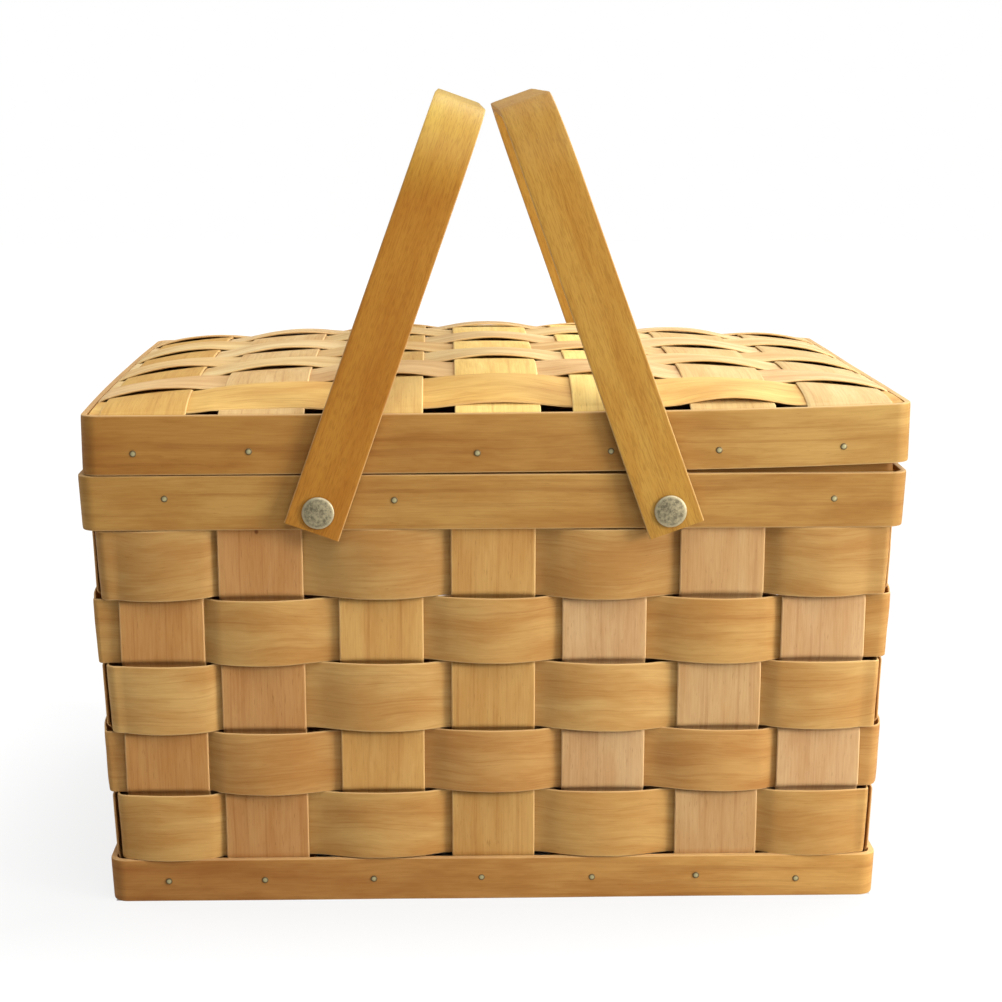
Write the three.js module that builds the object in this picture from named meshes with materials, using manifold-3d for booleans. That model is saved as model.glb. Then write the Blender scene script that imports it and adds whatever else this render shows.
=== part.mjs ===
// A lidded picnic basket woven from wide wood splints, with two bentwood handles that swing
// on rivets. Millimetres, +Z up. The front is at -Y, and the origin is under the middle of the base.
import * as THREE from 'three';
import { mergeVertices } from 'three/addons/utils/BufferGeometryUtils.js';
import Module from 'manifold-3d';

const wasm = await Module();
wasm.setup();

// Body: outside of the rim band at its top edge, and the lean of the walls.
const RIM_WIDTH = 400;
const RIM_DEPTH = 290;
const WALL_LEAN = THREE.MathUtils.degToRad(2.1);
const CORNER_RADIUS = 8;

// Splints: flat strips that stand as stakes or run round as weavers.
const SPLINT = 1.4;
const STAKE_WIDTH = 42;
const LONG_WALL_STAKES = 7;
const SHORT_WALL_STAKES = 5;
const ROWS = 5;
const ROW_PITCH = 34;
const ROW_GAP = 0.6;
const BEND_ROOM = 1.2;
const WEAVER_CORNER = 1.6;
const CLEARANCE = 0.3;

// Bands nailed round the foot and the rim, and the inner band that the lid slips over.
const BAND = 3.2;
const FOOT_HEIGHT = 22;
const FLOOR_LIFT = 0.6;
const RIM_HEIGHT = 27;
const STAKE_TOP_DROP = 2;
const INNER_BAND = 2.5;
const INNER_CORNER_RADIUS = 4;
const LIP_RISE = 12;

// Lid: a band with a domed weave whose strip ends are tucked down inside it.
const LID_HEIGHT = 29.5;
const LID_BAND = 3;
const LID_SEAT_GAP = 0.4;
const WEAVE_DROP = 1;
const STRIP_TUCK = 22;
const STRIP_FOLD = 2;
const DOME_RISE = 18.5;
const DOME_LONG_POWER = 3;
const DOME_SHORT_POWER = 2.8;

// Handles: hoops from front to back, reach measured from the pivot to the outside of the top.
const HANDLE_SPACING = 168.6;
const HANDLE_REACH = 205;
const HANDLE_WIDTH = 27;
const HANDLE_THICKNESS = 4.5;
const HANDLE_TAIL = 10;
const HANDLE_BEND = 40;
const HANDLE_SIDE_GAP = 1.2;
const HANDLE_PARTING = 5;
const PIVOT_DROP = 17.2;

// Rivets that carry the handles.
const RIVET_HEAD = 15.6;
const RIVET_HEAD_RISE = 2.2;
const RIVET_HEAD_EDGE = 0.7;
const RIVET_SHANK = 5;
const RIVET_TAIL = 10;
const RIVET_TAIL_THICKNESS = 1.5;

// Steps of a rounded corner, a handle bend and a rivet.
const CORNER_STEPS = 4;
const HANDLE_BEND_STEPS = 8;
const ROUND_STEPS = 24;

// Levels
const rimBottom = FOOT_HEIGHT + ROWS * ROW_PITCH;
const rimTop = rimBottom + RIM_HEIGHT;
const lidBottom = rimTop + LID_SEAT_GAP;
const lidTop = lidBottom + LID_HEIGHT;
const weaveLevel = lidTop - WEAVE_DROP;
const floorLevel = FLOOR_LIFT + 1.5 * SPLINT + CLEARANCE;
const pivotLevel = rimTop - PIVOT_DROP;

// Half sizes of the leaning wall at a height, that far in from the outside of the bands.
const leanAt = (height) => height * Math.tan(WALL_LEAN);
const halfWidthAt = (height, inset) => RIM_WIDTH / 2 - leanAt(rimTop - height) - inset;
const halfDepthAt = (height, inset) => RIM_DEPTH / 2 - leanAt(rimTop - height) - inset;

// The stakes stand inside the bands, and a weaver passes them at one step to either side.
const stakeInset = BAND + CLEARANCE + SPLINT / 2;
const weaveStep = SPLINT + CLEARANCE;
const weaverWidth = ROW_PITCH - ROW_GAP;

// The end stakes leave room at the corners of the base for a weaver to turn between the walls.
const cornerRoom = SPLINT / 2 + SPLINT + 2 * CLEARANCE;
const longPitch = (2 * (halfWidthAt(0, stakeInset) - cornerRoom) - STAKE_WIDTH) / (LONG_WALL_STAKES - 1);
const shortPitch = (2 * (halfDepthAt(0, stakeInset) - cornerRoom) - STAKE_WIDTH) / (SHORT_WALL_STAKES - 1);
const stakePlaces = (count, pitch) => Array.from({ length: count }, (_, i) => (i - (count - 1) / 2) * pitch);
const longPlaces = stakePlaces(LONG_WALL_STAKES, longPitch);
const shortPlaces = stakePlaces(SHORT_WALL_STAKES, shortPitch);

// The lid's strip ends stand inside its band, and its strips lie between the band's round corners.
const tuckInset = LID_BAND + CLEARANCE + SPLINT / 2;
const tuckHalfWidth = RIM_WIDTH / 2 - tuckInset;
const tuckHalfDepth = RIM_DEPTH / 2 - tuckInset;
const lidColumnRoom = RIM_WIDTH - 2 * (CORNER_RADIUS + STRIP_FOLD);
const lidColumnPitch = (lidColumnRoom - STAKE_WIDTH) / (LONG_WALL_STAKES - 1);
const lidColumnPlaces = stakePlaces(LONG_WALL_STAKES, lidColumnPitch);
const lidRowRoom = RIM_DEPTH - 2 * CORNER_RADIUS;
const lidRows = Math.floor((lidRowRoom + ROW_GAP) / ROW_PITCH);
const lidRowPitch = (lidRowRoom - weaverWidth) / (lidRows - 1);
const lidRowPlaces = stakePlaces(lidRows, lidRowPitch);

// The inner band stands upright inside the stakes' leaning faces.
const innerBandBottom = rimBottom + CLEARANCE;
const innerBandInset = stakeInset + SPLINT / 2 + CLEARANCE;
const innerHalfWidth = halfWidthAt(innerBandBottom, innerBandInset);
const innerHalfDepth = halfDepthAt(innerBandBottom, innerBandInset);

// The handles' legs pass just outside the lid and lean in until the two hoops nearly meet.
const legInside = RIM_DEPTH / 2 + HANDLE_SIDE_GAP;
const legMiddle = legInside + HANDLE_THICKNESS / 2;
const legOutside = legInside + HANDLE_THICKNESS;
const hoopCorner = Math.hypot(HANDLE_REACH, HANDLE_WIDTH / 2);
const handleLean =
  Math.asin((HANDLE_SPACING - HANDLE_PARTING) / 2 / hoopCorner) - Math.atan2(HANDLE_WIDTH / 2, HANDLE_REACH);

const finishes = {
  stake: new THREE.MeshStandardMaterial({ color: 0xc99b66, roughness: 0.6, metalness: 0 }),
  weaver: new THREE.MeshStandardMaterial({ color: 0xc8964e, roughness: 0.6, metalness: 0 }),
  band: new THREE.MeshStandardMaterial({ color: 0xb07f43, roughness: 0.55, metalness: 0 }),
  handle: new THREE.MeshStandardMaterial({ color: 0xb8762c, roughness: 0.5, metalness: 0 }),
  rivet: new THREE.MeshStandardMaterial({ color: 0x9b9a88, roughness: 0.4, metalness: 1 }),
};

const basket = new THREE.Group();

function addPiece(name, geometry, finish) {
  const mesh = new THREE.Mesh(geometry, finish);
  mesh.name = name;
  basket.add(mesh);
  return mesh;
}

// Moves a path sideways to its right by a distance, with mitred corners.
function offsetPath(path, distance, closed) {
  const count = path.length;
  return path.map((point, i) => {
    const hasBefore = closed || i > 0;
    const hasAfter = closed || i < count - 1;
    const arriving = hasBefore ? point.clone().sub(path[(i + count - 1) % count]) : path[1].clone().sub(point);
    const leaving = hasAfter ? path[(i + 1) % count].clone().sub(point) : arriving.clone();
    arriving.normalize();
    leaving.normalize();
    const mitre = distance / (1 + arriving.dot(leaving));
    const along = arriving.add(leaving).multiplyScalar(mitre);
    return new THREE.Vector2(point.x + along.y, point.y - along.x);
  });
}

// A flat strip that follows an open path edge-on, with its width along Z in a number of steps.
function strip(path, thickness, width, steps) {
  const faces = [offsetPath(path, thickness / 2, false), offsetPath(path, -thickness / 2, false)];
  const positions = path.flatMap((_, i) =>
    Array.from({ length: steps + 1 }, (__, j) =>
      faces.map((face) => [face[i].x, face[i].y, (width * j) / steps]),
    ).flat(2),
  );
  const corner = (i, j, face) => (i * (steps + 1) + j) * faces.length + face;
  const index = [];
  const quad = (a, b, c, d) => index.push(a, b, c, a, c, d);
  const last = path.length - 1;
  for (let j = 0; j < steps; j += 1) {
    for (let i = 0; i < last; i += 1) {
      quad(corner(i, j, 0), corner(i + 1, j, 0), corner(i + 1, j + 1, 0), corner(i, j + 1, 0));
      quad(corner(i, j, 1), corner(i, j + 1, 1), corner(i + 1, j + 1, 1), corner(i + 1, j, 1));
    }
    quad(corner(0, j, 0), corner(0, j + 1, 0), corner(0, j + 1, 1), corner(0, j, 1));
    quad(corner(last, j, 0), corner(last, j, 1), corner(last, j + 1, 1), corner(last, j + 1, 0));
  }
  for (let i = 0; i < last; i += 1) {
    quad(corner(i, 0, 0), corner(i, 0, 1), corner(i + 1, 0, 1), corner(i + 1, 0, 0));
    quad(corner(i, steps, 0), corner(i + 1, steps, 0), corner(i + 1, steps, 1), corner(i, steps, 1));
  }
  const geometry = new THREE.BufferGeometry();
  geometry.setAttribute('position', new THREE.Float32BufferAttribute(positions, 3));
  geometry.setIndex(index);
  geometry.computeVertexNormals();
  return geometry;
}

// The outline of a strip that closes on itself, run anticlockwise.
function hoop(path, thickness) {
  const shape = new THREE.Shape(offsetPath(path, thickness / 2, true));
  shape.holes.push(new THREE.Path(offsetPath(path, -thickness / 2, true)));
  return shape;
}

function extrude(shape, depth) {
  return new THREE.ExtrudeGeometry(shape, { depth, bevelEnabled: false });
}

// A strip whose path lies in the YZ plane, with its width along X about a middle line.
function frontToBack(path, thickness, width, middle, steps = 1) {
  const geometry = strip(path, thickness, width, steps);
  geometry.applyMatrix4(new THREE.Matrix4().set(0, 0, 1, middle - width / 2, 1, 0, 0, 0, 0, 1, 0, 0, 0, 0, 0, 1));
  return geometry;
}

// A strip whose path lies in the XZ plane, with its width along Y about a middle line. It is drawn
// from its far end, so that its facets on the dome run like those of the strips that it crosses.
function sideToSide(path, thickness, width, middle, steps = 1) {
  const geometry = strip([...path].reverse(), thickness, width, steps);
  geometry.rotateX(Math.PI / 2);
  geometry.translate(0, middle + width / 2, 0);
  return geometry;
}

// An arc as points, both ends included.
function arc(x, y, radius, start, end, steps) {
  return Array.from({ length: steps + 1 }, (_, i) => {
    const angle = start + ((end - start) * i) / steps;
    return new THREE.Vector2(x + radius * Math.cos(angle), y + radius * Math.sin(angle));
  });
}

// A rectangle with round corners, run anticlockwise.
function roundedLoop(halfWidth, halfDepth, radius) {
  const quarter = Math.PI / 2;
  const corners = [[1, -1], [1, 1], [-1, 1], [-1, -1]];
  return corners.flatMap(([sideX, sideY], i) =>
    arc(
      sideX * (halfWidth - radius),
      sideY * (halfDepth - radius),
      radius,
      (i - 1) * quarter,
      i * quarter,
      CORNER_STEPS,
    ),
  );
}

// A band of constant thickness between two heights, given by its outside.
function band(halfWidth, halfDepth, radius, thickness, bottom, top) {
  const middle = thickness / 2;
  const path = roundedLoop(halfWidth - middle, halfDepth - middle, radius - middle);
  const geometry = extrude(hoop(path, thickness), top - bottom);
  geometry.translate(0, 0, bottom);
  return geometry;
}

function mapPoints(geometry, change) {
  const position = geometry.attributes.position;
  const point = new THREE.Vector3();
  for (let i = 0; i < position.count; i += 1) {
    point.fromBufferAttribute(position, i);
    change(point);
    position.setXYZ(i, point.x, point.y, point.z);
  }
  return geometry;
}

// Leans a hoop drawn at the base: each wall moves out with height, and a corner moves both ways.
function leanOut(geometry) {
  return mapPoints(geometry, (point) => {
    const out = leanAt(point.z);
    if (Math.abs(point.x) > longPlaces.at(-1)) point.x += Math.sign(point.x) * out;
    if (Math.abs(point.y) > shortPlaces.at(-1)) point.y += Math.sign(point.y) * out;
  });
}

// Height of the lid's dome over its edge.
function domeAt(x, y) {
  const acrossX = 1 - Math.min(1, Math.abs(x) / (tuckHalfWidth - STRIP_FOLD)) ** DOME_LONG_POWER;
  const acrossY = 1 - Math.min(1, Math.abs(y) / (tuckHalfDepth - STRIP_FOLD)) ** DOME_SHORT_POWER;
  return DOME_RISE * acrossX * acrossY;
}

function raiseDome(geometry) {
  return mapPoints(geometry, (point) => {
    point.z += domeAt(point.x, point.y);
  });
}

function toSolid(geometry) {
  const bare = geometry.clone();
  bare.deleteAttribute('normal');
  bare.deleteAttribute('uv');
  const merged = mergeVertices(bare, 1e-4);
  const vertProperties = new Float32Array(merged.attributes.position.array);
  const triVerts = new Uint32Array(merged.index.array);
  return new wasm.Manifold(new wasm.Mesh({ numProp: 3, vertProperties, triVerts }));
}

function fromSolid(solid) {
  const mesh = solid.getMesh();
  const geometry = new THREE.BufferGeometry();
  geometry.setAttribute('position', new THREE.BufferAttribute(mesh.vertProperties, 3));
  geometry.setIndex(new THREE.BufferAttribute(mesh.triVerts, 1));
  geometry.computeVertexNormals();
  return geometry;
}

// Bores a clear hole from front to back for a rivet's shank at each place given.
function boreForRivets(geometry, places) {
  const length = 4 * legOutside;
  let solid = toSolid(geometry);
  for (const [x, z] of places) {
    const drill = new THREE.CylinderGeometry(
      RIVET_SHANK / 2 + CLEARANCE,
      RIVET_SHANK / 2 + CLEARANCE,
      length,
      ROUND_STEPS,
    );
    drill.translate(x, 0, z);
    solid = solid.subtract(toSolid(drill));
  }
  return fromSolid(solid);
}

const rivetPlaces = [[-HANDLE_SPACING / 2, pivotLevel], [HANDLE_SPACING / 2, pivotLevel]];

// Heights at which a crossing strip passes the strips at the given places, over and under in turn.
function weavePath(places, level, overFirst) {
  return places.flatMap((place, i) => {
    const over = (i % 2 === 0) === overFirst;
    const height = level + (over ? weaveStep : -weaveStep);
    const reach = STAKE_WIDTH / 2 + BEND_ROOM;
    return [-reach, 0, reach].map((step) => new THREE.Vector2(place + step, height));
  });
}

// Stakes: each runs down one wall, across the floor and up the other wall.
const stakeTop = rimTop - STAKE_TOP_DROP;

longPlaces.forEach((x, i) => {
  const path = [
    new THREE.Vector2(-halfDepthAt(stakeTop, stakeInset), stakeTop),
    new THREE.Vector2(-halfDepthAt(floorLevel, stakeInset), floorLevel),
    new THREE.Vector2(halfDepthAt(floorLevel, stakeInset), floorLevel),
    new THREE.Vector2(halfDepthAt(stakeTop, stakeInset), stakeTop),
  ];
  const stake = frontToBack(path, SPLINT, STAKE_WIDTH, x);
  addPiece(`front_to_back_stake_${i + 1}`, boreForRivets(stake, rivetPlaces), finishes.stake);
});

shortPlaces.forEach((y, i) => {
  const floor = weavePath(longPlaces, floorLevel, i % 2 === 0);
  const edge = floor[0].y;
  const path = [
    new THREE.Vector2(-halfWidthAt(stakeTop, stakeInset), stakeTop),
    new THREE.Vector2(-halfWidthAt(edge, stakeInset), edge),
    ...floor.slice(1, -1),
    new THREE.Vector2(halfWidthAt(edge, stakeInset), edge),
    new THREE.Vector2(halfWidthAt(stakeTop, stakeInset), stakeTop),
  ];
  addPiece(`side_to_side_stake_${i + 1}`, sideToSide(path, SPLINT, STAKE_WIDTH, y), finishes.stake);
});

// Weavers: closed hoops that pass outside and inside the stakes in turn, each row the other way.
function weaverLoop(row) {
  const walls = [
    { out: new THREE.Vector2(0, -1), far: halfDepthAt(0, stakeInset), places: longPlaces, first: row },
    { out: new THREE.Vector2(1, 0), far: halfWidthAt(0, stakeInset), places: shortPlaces, first: row + 1 },
    { out: new THREE.Vector2(0, 1), far: halfDepthAt(0, stakeInset), places: longPlaces, first: row },
    { out: new THREE.Vector2(-1, 0), far: halfWidthAt(0, stakeInset), places: shortPlaces, first: row + 1 },
  ];
  const reach = STAKE_WIDTH / 2 + BEND_ROOM;
  const distance = (wall, i) => wall.far + ((wall.first + i) % 2 === 0 ? weaveStep : -weaveStep);
  const path = [];
  walls.forEach((wall, w) => {
    const next = walls[(w + 1) % walls.length];
    const along = next.out;
    const last = wall.places.length - 1;
    wall.places.forEach((place, i) => {
      const base = wall.out.clone().multiplyScalar(distance(wall, i));
      if (i > 0) path.push(base.clone().addScaledVector(along, place - reach));
      if (i < last) path.push(base.clone().addScaledVector(along, place + reach));
    });
    const centre = wall.out.clone().multiplyScalar(distance(wall, last) - WEAVER_CORNER);
    centre.addScaledVector(along, distance(next, 0) - WEAVER_CORNER);
    const start = wall.out.angle();
    path.push(...arc(centre.x, centre.y, WEAVER_CORNER, start, start + Math.PI / 2, CORNER_STEPS / 2));
  });
  return path;
}

for (let row = 0; row < ROWS; row += 1) {
  const weaver = extrude(hoop(weaverLoop(row), SPLINT), weaverWidth);
  weaver.translate(0, 0, FOOT_HEIGHT + row * ROW_PITCH + ROW_GAP / 2);
  addPiece(`weaver_row_${row + 1}`, leanOut(weaver), finishes.weaver);
}

// Bands of the body
const baseBand = (bottom, top) =>
  leanOut(band(halfWidthAt(0, 0), halfDepthAt(0, 0), CORNER_RADIUS, BAND, bottom, top));

addPiece('foot_band', baseBand(0, FOOT_HEIGHT), finishes.band);
addPiece('rim_band', boreForRivets(baseBand(rimBottom, rimTop), rivetPlaces), finishes.band);

const innerBand = band(
  innerHalfWidth,
  innerHalfDepth,
  INNER_CORNER_RADIUS,
  INNER_BAND,
  innerBandBottom,
  rimTop + LIP_RISE,
);
addPiece('inner_rim_band', boreForRivets(innerBand, rivetPlaces), finishes.band);

// Lid band and the strips of its woven top
const lidBand = band(RIM_WIDTH / 2, RIM_DEPTH / 2, CORNER_RADIUS, LID_BAND, lidBottom, lidTop);
addPiece('lid_band', lidBand, finishes.band);

// A lid strip's path: up inside the band, over the weave and down again.
function lidPath(half, middle) {
  const end = lidTop - STRIP_TUCK;
  return [
    new THREE.Vector2(-half, end),
    new THREE.Vector2(-half, weaveLevel - STRIP_FOLD),
    new THREE.Vector2(-half + STRIP_FOLD, weaveLevel),
    ...middle,
    new THREE.Vector2(half - STRIP_FOLD, weaveLevel),
    new THREE.Vector2(half, weaveLevel - STRIP_FOLD),
    new THREE.Vector2(half, end),
  ];
}

lidColumnPlaces.forEach((x, i) => {
  const edge = weaverWidth / 2;
  const flat = lidRowPlaces.flatMap((y) => [-edge, 0, edge].map((step) => new THREE.Vector2(y + step, weaveLevel)));
  const column = frontToBack(lidPath(tuckHalfDepth, flat), SPLINT, STAKE_WIDTH, x, 2);
  addPiece(`lid_front_to_back_strip_${i + 1}`, raiseDome(column), finishes.stake);
});

lidRowPlaces.forEach((y, i) => {
  const woven = weavePath(lidColumnPlaces, weaveLevel, i % 2 === 1);
  const row = sideToSide(lidPath(tuckHalfWidth, woven), SPLINT, weaverWidth, y, 2);
  addPiece(`lid_side_to_side_strip_${i + 1}`, raiseDome(row), finishes.weaver);
});

// Handles: one bent strip each, with its pivot at its own origin.
const bendTop = HANDLE_REACH - HANDLE_THICKNESS / 2 - HANDLE_BEND;
const bendSide = legMiddle - HANDLE_BEND;
const handlePath = [
  new THREE.Vector2(-legMiddle, -HANDLE_TAIL),
  ...arc(-bendSide, bendTop, HANDLE_BEND, Math.PI, Math.PI / 2, HANDLE_BEND_STEPS),
  ...arc(bendSide, bendTop, HANDLE_BEND, Math.PI / 2, 0, HANDLE_BEND_STEPS),
  new THREE.Vector2(legMiddle, -HANDLE_TAIL),
];

for (const [name, side] of [['left', -1], ['right', 1]]) {
  const strap = frontToBack(handlePath, HANDLE_THICKNESS, HANDLE_WIDTH, 0);
  const handle = addPiece(`${name}_handle`, boreForRivets(strap, [[0, 0]]), finishes.handle);
  handle.position.set((side * HANDLE_SPACING) / 2, 0, pivotLevel);
  handle.rotation.y = -side * handleLean;
}

// Rivets: a low domed head outside the leg, a shank, and a tail spread inside the inner band.
const tailOutside = innerHalfDepth - INNER_BAND - CLEARANCE;
const headInside = legOutside + CLEARANCE;
const headEdge = headInside + RIVET_HEAD_EDGE;
const headTop = headInside + RIVET_HEAD_RISE;
const rivetProfile = [
  new THREE.Vector2(0, tailOutside - RIVET_TAIL_THICKNESS),
  new THREE.Vector2(RIVET_TAIL / 2, tailOutside - RIVET_TAIL_THICKNESS),
  new THREE.Vector2(RIVET_TAIL / 2, tailOutside),
  new THREE.Vector2(RIVET_SHANK / 2, tailOutside),
  new THREE.Vector2(RIVET_SHANK / 2, headInside),
  new THREE.Vector2(RIVET_HEAD / 2, headInside),
  new THREE.Vector2(RIVET_HEAD / 2, headEdge),
  new THREE.Vector2(RIVET_HEAD / 3, (headEdge + 2 * headTop) / 3),
  new THREE.Vector2(0, headTop),
];

for (const [name, side] of [['left', -1], ['right', 1]]) {
  for (const [wall, turn] of [['front', Math.PI], ['back', 0]]) {
    const rivet = addPiece(`${name}_${wall}_rivet`, new THREE.LatheGeometry(rivetProfile, ROUND_STEPS), finishes.rivet);
    rivet.rotation.z = turn;
    rivet.position.set((side * HANDLE_SPACING) / 2, 0, pivotLevel);
  }
}

export default basket;
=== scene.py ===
import math
import random
from collections import namedtuple

import bpy
from mathutils import Matrix, Vector


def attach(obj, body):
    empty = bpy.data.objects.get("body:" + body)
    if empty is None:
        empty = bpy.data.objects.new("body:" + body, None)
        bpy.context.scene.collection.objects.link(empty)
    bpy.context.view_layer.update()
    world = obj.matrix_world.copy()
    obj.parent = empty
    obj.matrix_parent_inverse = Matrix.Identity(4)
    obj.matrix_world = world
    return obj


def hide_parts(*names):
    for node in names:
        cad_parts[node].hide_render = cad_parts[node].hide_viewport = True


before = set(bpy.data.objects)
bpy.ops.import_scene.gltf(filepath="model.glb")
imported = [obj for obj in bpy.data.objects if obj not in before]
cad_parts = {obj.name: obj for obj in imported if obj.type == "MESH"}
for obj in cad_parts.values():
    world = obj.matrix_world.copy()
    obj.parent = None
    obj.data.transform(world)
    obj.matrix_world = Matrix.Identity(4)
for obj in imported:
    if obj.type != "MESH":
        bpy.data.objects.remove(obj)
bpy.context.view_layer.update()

# Front-to-back stakes: seven wide splints that stand in the two long walls and cross the floor.
# Each is sliced from a pine log as thin veneer, bent while wet and left bare.
# The weave grips it, and nails through the bands hold both of its tops.
MM = 0.001
SPLINT = 1.4
STAKE_WIDTH = 41.2
STAKE_BEND = 5
STAKE_TOP = 217
FLOOR_LEVEL = 3.0
WALL_SLOPE = math.tan(math.radians(2.1))
LONG_WALL = 132.77
SHORT_WALL = 187.77
FOOT_TOP = 22
ROW_EDGES = (22, 56.5, 88.8, 123.8, 157, 192)
ROWS = len(ROW_EDGES) - 1
STAKE_SWAY = (-2.2, 0.6)
SWAY_REACH = 3.5
SWAY_OUT, SWAY_IN = 0.35, 0.65
LONG_PITCH = 54.7
STAKE_SHIFTS = (2.0, -4.0, -0.5, -0.5, -0.7, 1.7, -2.5)
LONG_PLACES = [LONG_PITCH * i + shift for i, shift in zip(range(-3, 4), STAKE_SHIFTS)]
STAKE_TONES = ("#b98a51", "#b98b55", "#c79d5c", "#c09758", "#c7a476", "#c29e6d", "#c8a476")
PROFILE_POINTS = 28
PATH_STEP, SAME_PLACE = 1.2, 1e-4
BEND_STEPS, BEND_SHARE = 8, 0.49
SEED_STRIDE = 0.01
SHARP_ANGLE = math.radians(40)

Station = namedtuple("Station", "place facing side spread slim cup", defaults=(1.0, 1.0, 0.0))


def linear(hex_colour):
    parts = [int(hex_colour[i:i + 2], 16) / 255 for i in (1, 3, 5)]
    return tuple(c / 12.92 if c <= 0.04045 else ((c + 0.055) / 1.055) ** 2.4 for c in parts) + (1.0,)


# Links or sets a node's inputs. A node given as a value stands for its first output.
def feed(node, feeds):
    for socket, value in feeds.items():
        value = value.outputs[0] if isinstance(value, bpy.types.Node) else value
        if isinstance(value, bpy.types.NodeSocket):
            node.id_data.links.new(value, node.inputs[socket])
        else:
            node.inputs[socket].default_value = value


def add_node(tree, kind, feeds=None, **settings):
    node = tree.nodes.new(kind)
    for setting, value in settings.items():
        setattr(node, setting, value)
    feed(node, feeds or {})
    return node


def start_tree(name, sockets, result):
    tree = bpy.data.node_groups.new(name, "GeometryNodeTree")
    for socket, kind in sockets:
        tree.interface.new_socket(socket, in_out="INPUT", socket_type="NodeSocket" + kind)
    tree.interface.new_socket(result, in_out="OUTPUT", socket_type="NodeSocketGeometry")
    return tree, tree.nodes.new("NodeGroupInput").outputs


# A flat profile is drawn along the path, then each point is put where its station says.
splint_tree, given = start_tree("bent splint", (
    ("Path", "Geometry"), ("Width", "Float"), ("Thickness", "Float"), ("Round Across", "Float"),
    ("Round Through", "Float"), ("Ripple", "Float"), ("Ripple Length", "Float"),
    ("Tone", "Color"), ("Seed", "Float"), ("Wood", "Material")), "Splint")
circle = add_node(splint_tree, "GeometryNodeCurvePrimitiveCircle", {
    "Resolution": PROFILE_POINTS, "Radius": 1.0})
ring = add_node(splint_tree, "GeometryNodeInputPosition")
rounding = add_node(splint_tree, "ShaderNodeCombineXYZ", {
    0: given["Round Through"], 1: given["Round Across"], 2: 1.0})
halves = add_node(splint_tree, "ShaderNodeCombineXYZ", {0: given["Thickness"], 1: given["Width"], 2: 0.0})
bare = add_node(splint_tree, "ShaderNodeVectorMath", {0: ring}, operation="ABSOLUTE")
signs = add_node(splint_tree, "ShaderNodeVectorMath", {0: ring}, operation="SIGN")
squared = add_node(splint_tree, "ShaderNodeVectorMath", {0: bare, 1: rounding}, operation="POWER")
signed = add_node(splint_tree, "ShaderNodeVectorMath", {0: squared, 1: signs}, operation="MULTIPLY")
doubled = add_node(splint_tree, "ShaderNodeVectorMath", {0: signed, 1: halves}, operation="MULTIPLY")
section = add_node(splint_tree, "ShaderNodeVectorMath", {0: doubled, "Scale": 0.5}, operation="SCALE")
profile = add_node(splint_tree, "GeometryNodeStoreNamedAttribute", {
    "Geometry": circle, "Name": "section", "Value": section}, data_type="FLOAT_VECTOR", domain="POINT")
path = add_node(splint_tree, "GeometryNodeMeshToCurve", {"Mesh": given["Path"]})
swept = add_node(splint_tree, "GeometryNodeCurveToMesh", {
    "Curve": path, "Profile Curve": profile, "Fill Caps": True})
station = {}
for field in ("section", "place", "facing", "side", "spread", "slim", "cup", "run"):
    kind = "FLOAT" if field in ("spread", "slim", "cup", "run") else "FLOAT_VECTOR"
    station[field] = add_node(splint_tree, "GeometryNodeInputNamedAttribute", {"Name": field}, data_type=kind)
parts = add_node(splint_tree, "ShaderNodeSeparateXYZ", {0: station["section"]})
grain = add_node(splint_tree, "ShaderNodeCombineXYZ", {
    0: station["run"], 1: parts.outputs[1], 2: given["Seed"]})
waves = add_node(splint_tree, "ShaderNodeCombineXYZ", {
    0: given["Ripple Length"], 1: given["Ripple Length"], 2: SEED_STRIDE})
ripple_place = add_node(splint_tree, "ShaderNodeVectorMath", {0: grain, 1: waves}, operation="DIVIDE")
noise = add_node(splint_tree, "ShaderNodeTexNoise", {"Vector": ripple_place, "Scale": 1.0, "Detail": 1.0})
ripple = add_node(splint_tree, "ShaderNodeMapRange", {
    "Value": noise, "From Min": 0.3, "From Max": 0.7, "To Min": -1.0, "To Max": 1.0}, clamp=False)
rippled = add_node(splint_tree, "ShaderNodeMath", {0: ripple, 1: given["Ripple"]}, operation="MULTIPLY")
half = add_node(splint_tree, "ShaderNodeMath", {0: given["Width"], 1: 0.5}, operation="MULTIPLY")
edge = add_node(splint_tree, "ShaderNodeMath", {0: parts.outputs[1], 1: half}, operation="DIVIDE")
edge_squared = add_node(splint_tree, "ShaderNodeMath", {0: edge, 1: edge}, operation="MULTIPLY")
cupped = add_node(splint_tree, "ShaderNodeMath", {
    0: edge_squared, 1: station["cup"], 2: rippled}, operation="MULTIPLY_ADD")
through = add_node(splint_tree, "ShaderNodeMath", {
    0: parts, 1: station["slim"], 2: cupped}, operation="MULTIPLY_ADD")
across = add_node(splint_tree, "ShaderNodeMath", {
    0: parts.outputs[1], 1: station["spread"]}, operation="MULTIPLY")
raised = add_node(splint_tree, "ShaderNodeVectorMath", {
    0: station["facing"], "Scale": through}, operation="SCALE")
aside = add_node(splint_tree, "ShaderNodeVectorMath", {
    0: station["side"], "Scale": across}, operation="SCALE")
shifted = add_node(splint_tree, "ShaderNodeVectorMath", {0: raised, 1: aside}, operation="ADD")
in_place = add_node(splint_tree, "ShaderNodeVectorMath", {0: station["place"], 1: shifted}, operation="ADD")
in_metres = add_node(splint_tree, "ShaderNodeVectorMath", {0: in_place, "Scale": MM}, operation="SCALE")
formed = add_node(splint_tree, "GeometryNodeSetPosition", {"Geometry": swept, "Position": in_metres})
for field, value, kind in (("grain", grain, "FLOAT_VECTOR"),
                           ("edge", edge_squared, "FLOAT"), ("tone", given["Tone"], "FLOAT_COLOR")):
    formed = add_node(splint_tree, "GeometryNodeStoreNamedAttribute", {
        "Geometry": formed, "Name": field, "Value": value}, data_type=kind, domain="POINT")
realized = add_node(splint_tree, "GeometryNodeRealizeInstances", {"Geometry": formed})
covered = add_node(splint_tree, "GeometryNodeSetMaterial", {"Geometry": realized, "Material": given["Wood"]})
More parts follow.
